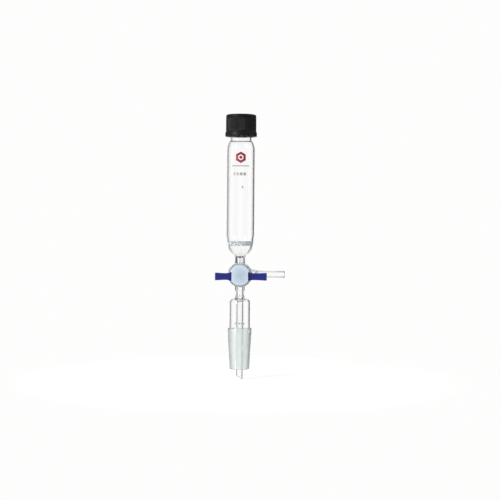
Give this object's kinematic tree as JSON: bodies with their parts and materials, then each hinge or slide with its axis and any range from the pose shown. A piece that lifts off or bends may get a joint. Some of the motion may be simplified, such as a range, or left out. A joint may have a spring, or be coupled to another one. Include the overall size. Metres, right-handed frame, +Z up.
{
  "type": "dropping funnel with fritted reservoir and three-way stopcock",
  "caption": "Screw-capped glass funnel with a sintered disc, three-way PTFE stopcock, hose side arm and a ground cone with an inner drip tube.",
  "frame": {"origin": "centre of the wide upper end of the 24/40 ground cone, on the funnel's axis", "axes": "+Z up the funnel's axis towards the cap, +X along the side arm, -Y towards the stopcock's handle"},
  "size_m": [0.0689, 0.0635, 0.2643],
  "materials": {
    "borosilicate_glass": "clear polished",
    "ground_glass": "fine ground",
    "sintered_glass": "sintered, granular",
    "ptfe": "turned, waxy",
    "blue_plastic": "moulded satin",
    "white_plastic": "moulded satin",
    "black_plastic": "moulded satin",
    "silicone": "matte",
    "black_rubber": "matte"
  },
  "bodies": {
    "glassware": {"threaded_neck": "borosilicate_glass", "reservoir_tube": "borosilicate_glass", "fritted_disc": "sintered_glass", "lower_bowl": "borosilicate_glass", "upper_stem": "borosilicate_glass", "stopcock_barrel": "borosilicate_glass", "side_arm": "borosilicate_glass", "lower_stem": "borosilicate_glass", "joint_shank": "borosilicate_glass", "ground_cone": "ground_glass", "drip_tube": "borosilicate_glass"},
    "plug": {"stopcock_plug": "ptfe", "stopcock_handle": "blue_plastic"},
    "washers": {"thrust_washer": "ptfe", "tension_oring": "black_rubber"},
    "nut": {"tension_nut": "white_plastic"},
    "liner": {"septum": "silicone", "septum_facing": "ptfe"},
    "cap": {"screw_cap": "black_plastic"}
  },
  "joints": [
    {"name": "stopcock_turn", "type": "hinge", "parent": "glassware", "child": "plug", "pos_m": [0, 0, 0.0542], "axis": [0, 1, 0], "continuous": true},
    {"name": "nut_travel", "type": "slide", "parent": "plug", "child": "washers", "axis": [0, 1, 0], "range_m": [0, 0.01]},
    {"name": "nut_turn", "type": "hinge", "parent": "washers", "child": "nut", "pos_m": [0, 0, 0.0542], "axis": [0, 1, 0], "range_deg": [0, 1800]},
    {"name": "cap_lift", "type": "slide", "parent": "glassware", "child": "liner", "axis": [0, 0, 1], "range_m": [0, 0.021]},
    {"name": "cap_turn", "type": "hinge", "parent": "liner", "child": "cap", "pos_m": [0, 0, 0.2], "axis": [0, 0, 1], "range_deg": [0, 2160]}
  ],
  "couplings": [
    {"joint": "nut_travel", "follows": "nut_turn", "m_per_rad": 0.00031831},
    {"joint": "cap_lift", "follows": "cap_turn", "m_per_rad": 0.00055704}
  ]
}
